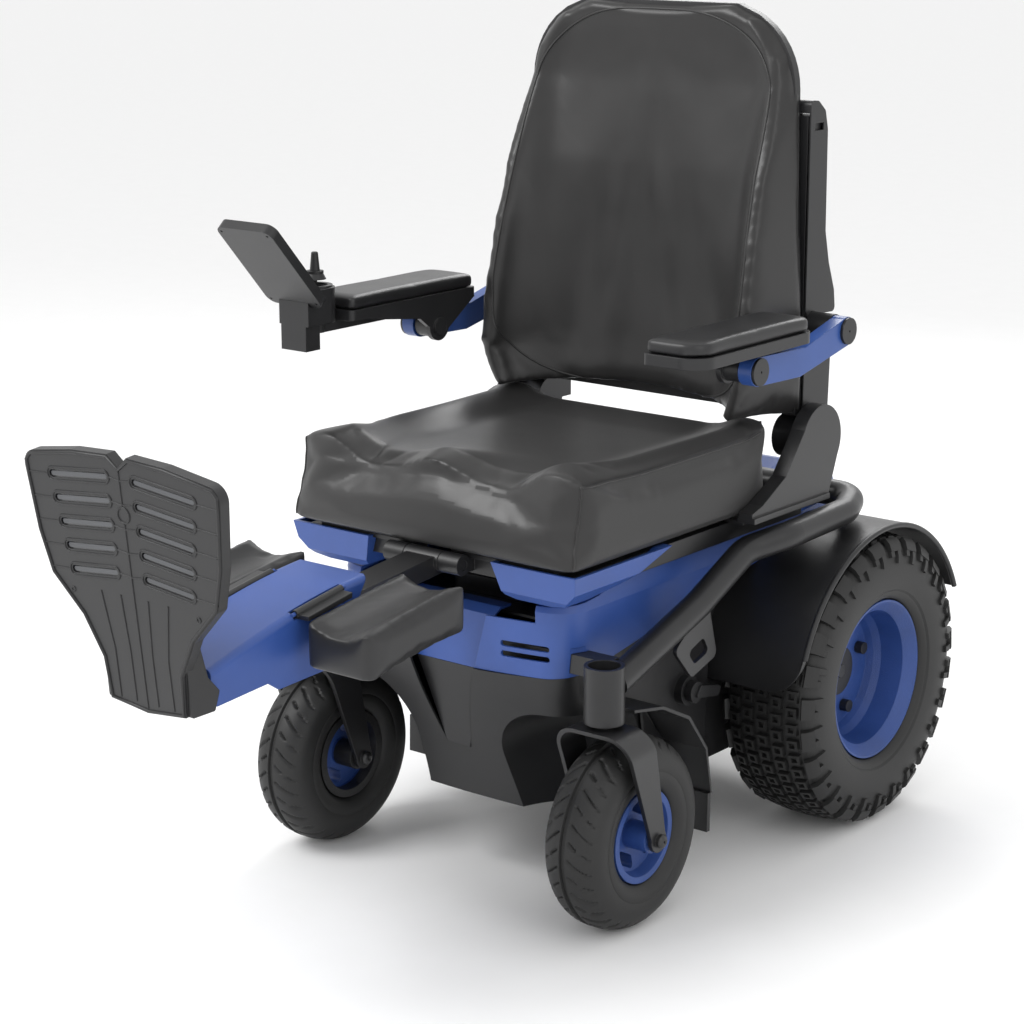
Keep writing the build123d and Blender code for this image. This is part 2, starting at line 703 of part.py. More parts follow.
# ---- joystick control --------------------------------------------------------------------------
def case_plane():
    """The back of the display case: origin at its foot, local Y up its length."""
    slope = radians(CASE_TILT)
    return Plane(origin=(STICK[0], -112, 768), x_dir=(-1, 0, 0), z_dir=(0, sin(slope), cos(slope)))


def swing_bar():
    """The bar under the armrest that carries the control."""
    bar = block((STICK[0] - 12, STICK[0] + 12), (STICK[1], 60), (726, 739.7))
    bar += rod_z(STICK[0], STICK[1], (726, 739.7), 13)
    bar += rod_z(STICK[0], STICK[1], (739.7, 746), 6)
    return bar


def control_pod():
    """The body of the hand control: a cup for the stick and a seat for the display."""
    x, y, _ = STICK
    pod = rod_z(x, y, (741, 789), POD_R) + block((x - POD_R, x + POD_R), (-118, y), (741, 789))
    pod += block((x - 24, x + 22), (-118, -90), (706, 742))
    pod -= extrude(case_plane() * Pos(0, 77) * Rectangle(110, 157), CASE_T + GAP)
    pod -= rod_z(x, y, (757, 800), 15)
    pod -= rod_z(x, y, (730, 748), 6 + RUNNING)
    return pod + (rod_z(x, y, (789, 792), 24) - rod_z(x, y, (780, 800), 17.5))


def display_case():
    case = extrude(case_plane() * Pos(0, 77) * RectangleRounded(100, 156, 14), CASE_T)
    case -= extrude(case_plane() * Pos(0, 88, 12) * RectangleRounded(84, 96, 5), 10)
    for px, py in BUTTONS:
        case -= extrude(case_plane() * Pos(px, py, 8) * Circle(6.5), 20)
    for px in (-42, 42):
        for py in (8, 146):
            case -= extrude(case_plane() * Pos(px, py, -1) * Circle(1.8), 4)
    return case


BUTTONS = [(-24, 24), (24, 24)]


def display_glass():
    return extrude(case_plane() * Pos(0, 88, 12) * RectangleRounded(83.4, 95.4, 4.7), 1.6)


def case_button(number):
    px, py = BUTTONS[number]
    return extrude(case_plane() * Pos(px, py, 10.2) * Circle(6.2), 5.4)


def gimbal_ring():
    x, y, z = STICK
    ring = rod_z(x, y, (z - 3, z + 3), 13) + rod_x((x - 14.6, x + 14.6), y, z, 1.5)
    return ring - rod_z(x, y, (z - 10, z + 10), 9)


def joystick():
    x, y, z = STICK
    stick = Pos(x, y, z) * Sphere(6) + rod_y(x, (y - 8.6, y + 8.6), z, 1.5)
    stick += rod_z(x, y, (z, z + 20), 3)
    bell = Pos(x, y, z + 21) * Cone(15.5, 11, 9)
    collar = rod_z(x, y, (z + 25, z + 28), 12)
    knob = Pos(x, y, z + 41) * Cone(7, 4.6, 26)
    return stick + bell + collar + fillet(knob.edges().group_by(Axis.Z)[-1], 2)


# ---- legrest -----------------------------------------------------------------------------------
def on_leg(y, lift=0.0):
    """Height of the legrest's sliding axis at a place along it."""
    return LEG[1] - 4 + (y - LEG[0]) * sin(radians(LEG_SLOPE)) / cos(radians(LEG_SLOPE)) + lift


def legrest_arm():
    """The swinging arm: a hub on the pivot, a bar, and a slide that the shell runs on."""
    hub = rod_x((-29, 29), *LEG, 14)
    bar = [(LEG[0] + 4, on_leg(LEG[0], 13)), (LEG[0] + 4, on_leg(LEG[0], -13))]
    bar += [(-520, on_leg(-520, -13)), (-520, on_leg(-520, 13))]
    arm = side_plate(bar, (-24, 24)) + hub
    return arm + rod_x((-62, 62), *LEG, 7)


LEG_TOP = [(-362, 503), (-420, 497), (-500, 483), (-636, 448)]
LEG_FOOT = [(-640, 408), (-628, 402), (-542, 408), (-524, 396), (-430, 400)]


def leg_profile(top, rest, x):
    """A (y, z) outline with a smooth curve along its top, extruded along X."""
    edges = Spline(*top) + Polyline(top[-1], *rest, top[0])
    return extrude(Plane.YZ.offset(x[0]) * make_face(edges), x[1] - x[0])


def calf_axis(length, radius):
    """A round bar along the left calf pad's hinge line."""
    x, z = CALF_HINGE
    return Pos(x, -451, z) * Rot(90 + CALF_SLOPE, 0, 0) * Cylinder(radius, length)


def legrest_shell():
    """The long blue shell, hollow below, with slots for the calf pads' hinges."""
    outer = leg_profile(LEG_TOP, LEG_FOOT, (-60, 60))
    long_edges = outer.edges().filter_by(lambda e: abs(e.center().X) > 59).sort_by(Axis.Z)[-2:]
    outer = fillet(long_edges, 9)
    under = [(y, z - SKIN) for y, z in LEG_TOP]
    under[0] = (-350, under[0][1])
    under[-1] = (-633, 445)
    shell = outer - leg_profile(under, [(-635, 380), (-340, 380)], (-60 + SKIN, 60 - SKIN))
    for slot in both(block((50, 70), (-496, -406), (475.5, 520))):
        shell -= slot
    web = [(-612, on_leg(-612, -22)), (-440, on_leg(-440, -22))]
    web += [(-440, on_leg(-440, -14)), (-612, on_leg(-612, -14))]
    shell += side_plate(web, (-57, 57))
    shell += block((-57, 57), (-636, -624), (404, 444)) + block((-50, 50), (-650, -630), (418, 432))
    shell += rod_x((-50, 50), *FOOT, 9)
    for pin in both(calf_axis(95, 2.5)):
        shell += pin
    return shell - rod_x((-70, 70), *FOOT, 5 + RUNNING)


def calf_pad():
    """A calf pad with its hinge barrel; the top is dished along its length."""
    y0, y1 = CALF_Y
    z_front = 477
    z_rear = 501
    profile = [(y0, z_front - 56), (y0, z_front), (y1, z_rear), (y1, z_rear - 56)]
    pad = side_plate(profile, (79, 184))
    plan = outline([(79, y0), (184, y0), (184, y1), (79, y1)])
    plan = fillet(plan.vertices().group_by(Axis.Y)[0], 14)
    plan = fillet(plan.vertices().group_by(Axis.Y)[-1], 5)
    pad &= extrude(Pos(0, 0, 380) * plan, 160)
    slope = 7.7
    dish = Pos(131, (y0 + y1) / 2, 489 + 78) * Rot(90 + slope, 0, 0) * Cylinder(88, 400)
    return pad - dish


def calf_hinge():
    leaf = side_plate([(-490, 482), (-490, 476.5), (-412, 488), (-412, 495)], (CALF_HINGE[0], 79))
    return calf_axis(84, 5) + leaf - calf_axis(120, 2.5 + RUNNING)


FOOT_HALF = [(62, 403), (66, 455), (92, 503), (136, 548), (150, 600), (161, 696), (75, 709), (16, 712), (0, 698)]
FOOT_LEAN = 6.6
FOOT_PLATE_T = 8.0
FOOT_RIM_T = 14.0


def foot_face():
    """The footplate's outline: two arched halves over a waist that narrows to the hinge."""
    face = outline([(0, 396)] + FOOT_HALF + [(-x, z) for x, z in reversed(FOOT_HALF[:-1])])
    corners = [v for v in face.vertices() if abs(v.X) > 155]
    face = fillet(corners, 20)
    return fillet([v for v in face.vertices() if 90 < abs(v.X) < 152 and v.Y < 610], 10)


def footplate():
    """The plate with its slots, rim and hinge cheeks."""
    face = foot_face()
    plate = extrude(Plane.XZ * face, FOOT_PLATE_T)
    rim = extrude(Plane.XZ.offset(FOOT_PLATE_T - FOOT_RIM_T) * face, FOOT_RIM_T - FOOT_PLATE_T)
    rim -= extrude(Plane.XZ.offset(-30) * offset(face, amount=-6), 60)
    plate = plate + rim
    for row in range(5):
        z = 563 + 29 * row
        for sx in (-1, 1):
            slot = Pos(sx * (61 + 2 * row), 0, z) * Rot(0, sx * 6, 0) * Box(78 + 5 * row, 60, 9)
            slot = fillet(slot.edges().filter_by(Axis.Y), 4.4)
            plate -= slot
    plate = Pos(0, -672, 400) * Rot(FOOT_LEAN, 0, 0) * Pos(0, 0, -400) * plate
    cheek = [(-677, 402), (-640, 402), (-632, 425), (-650, 445), (-672, 520), (-688, 520)]
    for plate_cheek in both(side_plate(cheek, (61, 69), 3)):
        plate += plate_cheek
    for boss in both(rod_x((60.5, 69), *FOOT, 12)):
        plate += boss
    return plate + rod_x((-62, 62), *FOOT, 5)


def write_base():
    write("base_tray", base_tray())
    write("frame_hoop", frame_hoop())
    write("swivel_beam", front_beam(), *[q for p in caster_barrel() for q in both(p)])
    write("lower_shell", lower_shell())
    write("front_panel", front_panel())
    write("middle_covers", front_cover(), rear_cover())
    write("top_deck", top_deck(), *base_bolts())
    write("rear_fenders", *both(fender()))
    write("caster_guards", *[q for p in caster_guard() for q in both(p)])
    write("tie_down_rings", *both(tie_down_ring()))
    write("batteries", *batteries())
    write("drive_motors", *both(drive_motor()))
    write("controller", controller())
    write("column_outer", column_tube(120, 110, (134, 420), 7))
    for name in ("left", "right"):
        write(f"side_cover_{name}", side(side_cover(), name))
        write(f"freewheel_lever_{name}", side(freewheel_lever(), name))


def write_wheels():
    for name in ("left", "right"):
        write(f"caster_fork_{name}", side(caster_fork(), name), side(caster_axle(), name))
        write(f"caster_tyre_{name}", side(caster_tyre(), name))
        write(f"caster_rim_{name}", *[side(p, name) for p in caster_rim()])
        write(f"drive_tyre_{name}", side(drive_tyre(), name))
        write(f"drive_rim_{name}", side(drive_rim(), name))
        write(f"drive_hub_{name}", *[side(p, name) for p in drive_hub()])


def write_seat():
    write("column_middle", column_tube(105, 95, (146, 438), 7))
    write("column_inner", column_tube(90, 80, (156, 458), 6))
    write("seat_frame", seat_frame())
    write("seat_covers", *both(seat_cover()))
    write("seat_cushion", cushion())
    write("recline_brackets", *both(recline_bracket()))
    write("back_frame", back_frame())
    write("post_covers", *[q for p in post_covers() for q in both(p)])
    write("back_shell", back_shell())
    write("back_cushion", back_cushion())


def write_arms():
    for name in ("left", "right"):
        write(f"arm_link_{name}", side(arm_link(), name))
        write(f"arm_cushion_{name}", side(arm_cushion(), name))
    write("arm_tray_left", arm_tray())
    write("arm_tray_right", side(arm_tray(), "right"), swing_bar())
    write("control_pod", control_pod())
    write("display_case", display_case())
    write("display_glass", display_glass())
    write("power_button", case_button(0))
    write("mode_button", case_button(1))
    write("gimbal_ring", gimbal_ring())
    write("joystick", joystick())


def write_legrest():
    write("legrest_arm", legrest_arm())
    write("legrest_shell", legrest_shell())
    write("footplate", footplate())
    for name in ("left", "right"):
        write(f"calf_hinge_{name}", side(calf_hinge(), name))
        write(f"calf_pad_{name}", side(calf_pad(), name))


write_base()
write_wheels()
write_seat()
write_arms()
write_legrest()
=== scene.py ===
import json
from math import cos, exp, pi, radians, sin, sqrt

import bmesh
import bpy
import numpy as np
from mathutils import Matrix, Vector
from mathutils.bvhtree import BVHTree


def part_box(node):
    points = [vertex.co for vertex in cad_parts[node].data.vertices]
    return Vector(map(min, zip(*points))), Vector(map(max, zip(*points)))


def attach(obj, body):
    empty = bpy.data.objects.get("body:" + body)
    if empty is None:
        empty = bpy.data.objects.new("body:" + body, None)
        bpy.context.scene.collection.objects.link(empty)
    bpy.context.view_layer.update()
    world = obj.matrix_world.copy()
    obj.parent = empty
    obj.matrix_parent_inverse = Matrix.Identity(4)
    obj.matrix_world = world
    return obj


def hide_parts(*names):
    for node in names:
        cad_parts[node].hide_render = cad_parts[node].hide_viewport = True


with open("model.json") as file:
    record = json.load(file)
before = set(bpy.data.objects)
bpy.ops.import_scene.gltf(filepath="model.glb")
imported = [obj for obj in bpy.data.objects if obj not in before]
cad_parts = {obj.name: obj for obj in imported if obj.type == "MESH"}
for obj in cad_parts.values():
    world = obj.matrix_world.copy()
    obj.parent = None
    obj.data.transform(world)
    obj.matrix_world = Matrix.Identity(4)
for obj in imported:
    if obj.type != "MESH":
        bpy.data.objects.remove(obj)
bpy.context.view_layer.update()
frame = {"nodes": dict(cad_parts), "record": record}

# The chair is described with y = 0 at the seat column; SHIFT moves that into the row frame.
WHEEL_Y = 0.441
DRIVE_X = 0.260
DRIVE_AXLE_Z = 0.214
CASTER_X = 0.2537
CASTER_Y = -0.090
CASTER_AXLE_Z = 0.130
_low, _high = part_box("drive_tyre_left")
SHIFT = (_low.y + _high.y) / 2 - WHEEL_Y
SIDES = (("left", 1), ("right", -1))


# ---- materials ------------------------------------------------------------------------------
def material(name, color, rough, grain=900.0, depth=0.0002, strength=0.3, spread=0.12, metal=0.0,
             coat=0.0, sheen=0.0, pattern="noise", spec=0.5, edge=0.0):
    """A procedural finish: broad variation of colour and gloss, fine relief and rounded edges."""
    mat = bpy.data.materials.new(name)
    mat.use_nodes = True
    nodes = mat.node_tree.nodes
    link = mat.node_tree.links.new
    bsdf = nodes["Principled BSDF"]
    bsdf.inputs["Metallic"].default_value = metal
    bsdf.inputs["Coat Weight"].default_value = coat
    bsdf.inputs["Coat Roughness"].default_value = 0.25
    bsdf.inputs["Sheen Weight"].default_value = sheen
    bsdf.inputs["Specular IOR Level"].default_value = spec
    coords = nodes.new("ShaderNodeTexCoord")
    broad = nodes.new("ShaderNodeTexNoise")
    broad.inputs["Scale"].default_value = 14.0
    broad.inputs["Detail"].default_value = 5.0
    link(coords.outputs["Object"], broad.inputs["Vector"])
    tint = nodes.new("ShaderNodeValToRGB")
    dark = [c * (1 - spread) for c in color] + [1]
    light = [min(1, c * (1 + spread) + 0.002) for c in color] + [1]
    tint.color_ramp.elements[0].position = 0.3
    tint.color_ramp.elements[0].color = dark
    tint.color_ramp.elements[1].position = 0.7
    tint.color_ramp.elements[1].color = light
    link(broad.outputs["Fac"], tint.inputs["Fac"])
    link(tint.outputs["Color"], bsdf.inputs["Base Color"])
    gloss = nodes.new("ShaderNodeMapRange")
    gloss.inputs["To Min"].default_value = max(0.05, rough - 0.06)
    gloss.inputs["To Max"].default_value = min(1.0, rough + 0.06)
    link(broad.outputs["Fac"], gloss.inputs["Value"])
    link(gloss.outputs["Result"], bsdf.inputs["Roughness"])
    if pattern == "leather":
        relief = nodes.new("ShaderNodeTexVoronoi")
        relief.feature = "DISTANCE_TO_EDGE"
        relief.inputs["Scale"].default_value = grain
        out = relief.outputs["Distance"]
    else:
        relief = nodes.new("ShaderNodeTexNoise")
        relief.inputs["Scale"].default_value = grain
        relief.inputs["Detail"].default_value = 3.0
        out = relief.outputs["Fac"]
    link(coords.outputs["Object"], relief.inputs["Vector"])
    bump = nodes.new("ShaderNodeBump")
    bump.inputs["Strength"].default_value = strength
    bump.inputs["Distance"].default_value = depth
    link(out, bump.inputs["Height"])
    if edge:
        rounded = nodes.new("ShaderNodeBevel")
        rounded.samples = 4
        rounded.inputs["Radius"].default_value = edge
        link(rounded.outputs["Normal"], bump.inputs["Normal"])
    link(bump.outputs["Normal"], bsdf.inputs["Normal"])
    return mat


BLACK = (0.012, 0.012, 0.013)
BLUE = (0.030, 0.078, 0.30)
EDGE = 0.0016
finish = {
    "black_shell": material("black_shell", BLACK, 0.4, 1400, 0.0003, 0.35, edge=EDGE),
    "control": material("control", (0.014, 0.014, 0.015), 0.38, 1600, 0.0002, 0.3, edge=EDGE),
    "chassis": material("chassis", (0.011, 0.011, 0.012), 0.38, 1100, 0.0002, 0.25, edge=EDGE),
    "bracket": material("bracket", (0.012, 0.012, 0.013), 0.34, 1300, 0.0002, 0.25, spec=0.6, edge=EDGE),
    "tube": material("tube", (0.015, 0.015, 0.016), 0.36, 1500, 0.0002, 0.25),
    "blue_cover": material("blue_cover", BLUE, 0.36, 1500, 0.0004, 0.5, 0.08, edge=EDGE),
    "blue_metal": material("blue_metal", (0.028, 0.078, 0.29), 0.32, 1200, 0.0002, 0.2, 0.06, edge=EDGE),
    "blue_rim": material("blue_rim", (0.022, 0.062, 0.24), 0.45, 700, 0.0007, 0.8, 0.15, edge=EDGE),
    "battery": material("battery", (0.03, 0.03, 0.032), 0.5),
    "motor": material("motor", (0.16, 0.16, 0.165), 0.45, 800, 0.0004, 0.5, metal=0.8),
    "column": material("column", (0.03, 0.03, 0.032), 0.32, 600, 0.0001, 0.2, metal=0.7),
    "upholstery": material("upholstery", (0.013, 0.0125, 0.0125), 0.36, 620, 0.0003, 0.3, 0.1,
                           sheen=0.08, pattern="leather"),
    "knit": material("knit", (0.015, 0.0145, 0.0145), 0.55, 1800, 0.0004, 0.5, 0.1, sheen=0.15),
    "arm_pad": material("arm_pad", (0.013, 0.013, 0.014), 0.38, 1300, 0.0003, 0.4),
    "screen": material("screen", (0.008, 0.008, 0.01), 0.08, 40, 0.00001, 0.05, coat=0.6),
    "button": material("button", (0.03, 0.03, 0.033), 0.5),
    "bright": material("bright", (0.4, 0.4, 0.42), 0.28, 500, 0.0001, 0.2, metal=1.0),
    "soft_grip": material("soft_grip", (0.013, 0.013, 0.014), 0.5),
    "tyre": material("tyre", (0.010, 0.010, 0.010), 0.55, 500, 0.0003, 0.35, 0.2),
    "hub": material("hub", (0.012, 0.012, 0.013), 0.36, edge=EDGE),
    "plate_bar": material("plate_bar", (0.075, 0.078, 0.085), 0.42, 1200, 0.0002, 0.3),
}


def paint_inboard_shade(mat, half_track):
    """Painted shade: paints whatever lies nearer to the chair's middle than a distance in black, standing
    in for the shade on a rim's inboard side.
    """
    nodes = mat.node_tree.nodes
    link = mat.node_tree.links.new
    bsdf = nodes["Principled BSDF"]
    painted = bsdf.inputs["Base Color"].links[0].from_socket
    coords = nodes.new("ShaderNodeTexCoord")
    split = nodes.new("ShaderNodeSeparateXYZ")
    link(coords.outputs["Object"], split.inputs["Vector"])
    away = nodes.new("ShaderNodeMath")
    away.operation = "ABSOLUTE"
    link(split.outputs["X"], away.inputs[0])
    outer = nodes.new("ShaderNodeMath")
    outer.operation = "GREATER_THAN"
    outer.inputs[1].default_value = half_track
    link(away.outputs["Value"], outer.inputs[0])
    # black mixed in as painted shade on the inboard side
    mix = nodes.new("ShaderNodeMix")
    mix.data_type = "RGBA"
    mix.inputs["A"].default_value = (*BLACK, 1)
    link(outer.outputs["Value"], mix.inputs["Factor"])
    link(painted, mix.inputs["B"])
    link(mix.outputs["Result"], bsdf.inputs["Base Color"])


# Painted shade: the inboard side of the blue rims, between wheel and chassis, is painted black.
paint_inboard_shade(finish["blue_rim"], 0.236)
slot_of = {s["node"]: s["material_slot"] for s in frame["record"]["subparts"]}
for node, obj in frame["nodes"].items():
    obj.data.materials.clear()
    obj.data.materials.append(finish[slot_of[node]])


# ---- making pieces ---------------------------------------------------------------------------
def piece(name, verts, faces, body, slot, smooth=True):
    """A new mesh object, riding on a body, with the finish of a slot."""
    mesh = bpy.data.meshes.new(name)
    mesh.from_pydata([tuple(v) for v in verts], [], faces)
    mesh.validate()
    obj = bpy.data.objects.new(name, mesh)
    bpy.context.scene.collection.objects.link(obj)
    work = bmesh.new()
    work.from_mesh(mesh)
    bmesh.ops.remove_doubles(work, verts=work.verts, dist=0.00001)
    bmesh.ops.recalc_face_normals(work, faces=work.faces)
    work.to_mesh(mesh)
    work.free()
    mesh.materials.append(finish[slot])
    if smooth:
        mesh.shade_smooth()
    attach(obj, body)
    return obj


def soften(obj, angle=35.0):
    """Smooth shading that keeps edges sharper than an angle."""
    obj.data.shade_smooth()
    obj.data.set_sharp_from_angle(angle=radians(angle))


def lathe(profile, center, steps, closed=True):
    """Rings of a (radius, x) profile about an axle along X."""
    verts = []
    for i in range(steps):
        a = 2 * pi * i / steps
        for r, x in profile:
            verts.append((center[0] + x, center[1] + SHIFT + r * cos(a), center[2] + r * sin(a)))
    n = len(profile)
    faces = []
    for i in range(steps):
        j = (i + 1) % steps
        for k in range(n if closed else n - 1):
            m = (k + 1) % n
            faces.append((i * n + k, i * n + m, j * n + m, j * n + k))
    return verts, faces


def join(parts):
    """Several (vertices, faces) meshes as one."""
    verts = []
    faces = []
    for part_verts, part_faces in parts:
        base = len(verts)
        verts += part_verts
        faces += [tuple(base + k for k in f) for f in part_faces]
    return verts, faces


def mirrored(mesh, g):
    """A (vertices, faces) mesh for one side of the chair."""
    verts, faces = mesh
    return [(g * v[0], v[1], v[2]) for v in verts], faces


def settle(obj, voxel, cap, pressure=4.0, fixed=None, frames=20):
    """Lets a padded form swell under pressure, and keeps each point within the cap."""
    bpy.context.view_layer.update()
    remesh = obj.modifiers.new("Remesh", "REMESH")
    remesh.mode = "VOXEL"
    remesh.voxel_size = voxel
    depsgraph = bpy.context.evaluated_depsgraph_get()
    mesh = bpy.data.meshes.new_from_object(obj.evaluated_get(depsgraph))
    obj.modifiers.clear()
    old = obj.data
    obj.data = mesh
    mesh.materials.clear()
    for mat in old.materials:
        mesh.materials.append(mat)
    start = np.zeros(len(mesh.vertices) * 3, np.float32)
    mesh.vertices.foreach_get("co", start)
    start = start.reshape(-1, 3)
    cloth = obj.modifiers.new("Cloth", "CLOTH")
    settings = cloth.settings
    settings.use_pressure = True
    settings.uniform_pressure_force = pressure
    settings.effector_weights.gravity = 0.0
    settings.quality = 4
    cloth.collision_settings.use_collision = False
    cloth.point_cache.frame_start = 1
    cloth.point_cache.frame_end = frames
    if fixed is not None:
        group = obj.vertex_groups.new(name="fixed")
        group.add([i for i, co in enumerate(start) if fixed(co)], 1.0, "REPLACE")
        settings.vertex_group_mass = "fixed"
    for number in range(1, frames + 1):
        bpy.context.scene.frame_set(number)
    depsgraph = bpy.context.evaluated_depsgraph_get()
    swollen = obj.evaluated_get(depsgraph).to_mesh()
    end = np.zeros(len(swollen.vertices) * 3, np.float32)
    swollen.vertices.foreach_get("co", end)
    end = end.reshape(-1, 3)
    obj.evaluated_get(depsgraph).to_mesh_clear()
    obj.modifiers.clear()
    bpy.context.scene.frame_set(1)
    move = end - start
    length = np.linalg.norm(move, axis=1, keepdims=True)
    move *= np.minimum(1.0, cap / np.maximum(length, 1e-9))
    mesh.vertices.foreach_set("co", (start + move).ravel())
    work = bmesh.new()
    work.from_mesh(mesh)
    for _ in range(3):
        bmesh.ops.smooth_vert(work, verts=work.verts, factor=0.5, use_axis_x=True, use_axis_y=True,
                              use_axis_z=True)
    work.to_mesh(mesh)
    work.free()
    mesh.shade_smooth()
    sub = obj.modifiers.new("Subdivision", "SUBSURF")
    sub.levels = 1
    sub.render_levels = 1
    return obj


def block_grid(cuts, place):
    """A closed box grid whose points are placed by a function of (u, v, w), each in -1..1."""
    work = bmesh.new()
    bmesh.ops.create_cube(work, size=2.0)
    bmesh.ops.subdivide_edges(work, edges=work.edges, cuts=cuts, use_grid_fill=True)
    for v in work.verts:
        v.co = Vector(place(*v.co))
    verts = [tuple(v.co) for v in work.verts]
    work.verts.index_update()
    faces = [tuple(v.index for v in f.verts) for f in work.faces]
    work.free()
    return verts, faces


def cord_tube(name, points, radius, body, slot, cyclic=False):
    """A thin round bead (piping, seam or rib) through points."""
    data = bpy.data.curves.new(name, "CURVE")
    data.dimensions = "3D"
    data.bevel_depth = radius
    data.bevel_resolution = 2
    spline = data.splines.new("POLY")
    spline.points.add(len(points) - 1)
    for q, p in zip(spline.points, points):
        q.co = (*p, 1)
    spline.use_cyclic_u = cyclic
    temp = bpy.data.objects.new(name, data)
    bpy.context.scene.collection.objects.link(temp)
    bpy.context.view_layer.update()
    mesh = bpy.data.meshes.new_from_object(temp.evaluated_get(bpy.context.evaluated_depsgraph_get()))
    bpy.data.objects.remove(temp)
    obj = bpy.data.objects.new(name, mesh)
    bpy.context.scene.collection.objects.link(obj)
    mesh.materials.clear()
    mesh.materials.append(finish[slot])
    mesh.shade_smooth()
    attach(obj, body)
    return obj


def surface_of(obj):
    """A search tree over an object's surface, modifiers included."""
    bpy.context.view_layer.update()
    depsgraph = bpy.context.evaluated_depsgraph_get()
    mesh = obj.evaluated_get(depsgraph).to_mesh()
    points = [v.co.copy() for v in mesh.vertices]
    tree = BVHTree.FromPolygons(points, [tuple(p.vertices) for p in mesh.polygons])
    obj.evaluated_get(depsgraph).to_mesh_clear()
    return tree


def smooth01(t):
    """A smooth step from 0 to 1."""
    t = min(1.0, max(0.0, t))
    return t * t * (3 - 2 * t)


# ---- seat cushion ---------------------------------------------------------------------------
SEAT_BOTTOM = 0.4915


def front_edge(x):
    """Height of the cushion's front top edge: two thigh hollows either side of a middle rise."""
    ax = abs(x)
    rise = 0.023 * exp(-((x / 0.05) ** 2))
    shoulder = 0.028 * smooth01((ax - 0.115) / 0.08)
    return 0.588 + rise + shoulder - 0.010 * smooth01((ax - 0.215) / 0.025)


def seat_top(x, y):
    """Height of the cushion's top: the front contour fades into a shallow bucket."""
    v = smooth01((y + 0.165) / 0.16)
    bucket = 0.580 + 0.022 * smooth01((abs(x) - 0.13) / 0.09)
    rear = bucket + 0.010 * smooth01((y - 0.20) / 0.10)
    return front_edge(x) * (1 - v) + rear * v


def seat_plan(u, v):
    front = -0.164 + 0.006 * abs(u) ** 8
    rear = 0.298 - 0.035 * abs(u) ** 8
    return 0.238 * u, front + (rear - front) * (v + 1) / 2


def seat_point(u, v, w):
    x, y = seat_plan(u, v)
    top = seat_top(x, y)
    z = SEAT_BOTTOM + (top - SEAT_BOTTOM) * (w + 1) / 2
    lean = 0.020 * (1 - (w + 1) / 2) * smooth01((-v - 0.7) / 0.3)
    return x, y - lean + SHIFT, z


verts, faces = block_grid(55, seat_point)
seat = piece("seat_upholstery", verts, faces, "seat", "upholstery")
settle(seat, 0.0055, 0.008, 3.0, fixed=lambda co: co[2] < SEAT_BOTTOM + 0.006)
seat.data.materials.append(finish["knit"])
for poly in seat.data.polygons:
    if abs(poly.normal.z) < 0.45:
        poly.material_index = 1
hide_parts("seat_cushion")
tree = surface_of(seat)
STEPS = 60
for name, g in SIDES:
    seam = []
    for k in range(2 * STEPS):
        if k < STEPS:
            u, v, w = g, -1, -0.96 + 1.86 * k / STEPS
        else:
            u, v, w = g, -1 + 1.96 * (k - STEPS) / STEPS, 0.90
        hit = tree.find_nearest(Vector(seat_point(u, v, w)))
        seam.append(hit[0] + hit[1] * 0.0002)
    cord_tube(f"seat_piping_{name}", seam, 0.0016, "seat", "upholstery")

# ---- backrest ------------------------------------------------------------------------------------
BACK = [(0.596, 0.216, 0.228, 0.098), (0.680, 0.211, 0.227, 0.100), (0.770, 0.219, 0.225, 0.094),
        (0.860, 0.238, 0.220, 0.078), (0.940, 0.262, 0.216, 0.052), (1.060, 0.311, 0.214, 0.012),
        (1.180, 0.325, 0.212, 0.003)]
BACK_REAR = 0.3455
BACK_Z = (0.610, 1.167)
_levels = np.array(BACK)


def back_at(z):
    """Rim position, half-width and depth of the hollow at a height."""
    return [float(np.interp(z, _levels[:, 0], _levels[:, k])) for k in (1, 2, 3)]


def back_half(z, v):
    """Half-width of the backrest, narrowed round the top and bottom corners."""
    _, half, _ = back_at(z)
    half += 0.011 * (v + 1) / 2
    radius = 0.112
    over = z - (BACK_Z[1] - radius)
    if over > 0:
        half -= radius - sqrt(max(0.0, radius ** 2 - min(over, radius * 0.985) ** 2))
    under = (BACK_Z[0] + 0.075) - z
    if under > 0:
        half -= 0.030 * (under / 0.075) ** 1.6 * (1 - v) / 2
    return half


def back_point(u, v, w):
    z = BACK_Z[0] + (BACK_Z[1] - BACK_Z[0]) * (w + 1) / 2
    z += 0.010 * (1 - u * u) * smooth01((-w - 0.6) / 0.4)
    rim, half, depth = back_at(z)
    inside = min(1.0, abs(u) / 0.93)
    dish = depth * sqrt(max(0.0, 1 - inside ** 2.4))
    dish += 0.010 * smooth01((1 - abs(u)) / 0.25) * smooth01((w + 1) / 0.3) * smooth01((1 - w) / 0.25)
    fold = 0.0
    for slope, width, height in ((0.16, 0.030, 0.006), (0.42, 0.045, 0.005)):
        centre = slope * (BACK_Z[1] - z)
        fold += height * exp(-(((abs(u * half) - centre) / width) ** 2)) * smooth01((BACK_Z[1] - z) / 0.25)
    front = rim + dish - fold * smooth01((1 - abs(u)) / 0.2)
    front = min(front, BACK_REAR - 0.014)
    y = front + (BACK_REAR - front) * (v + 1) / 2
    return u * back_half(z, v), y + SHIFT, z


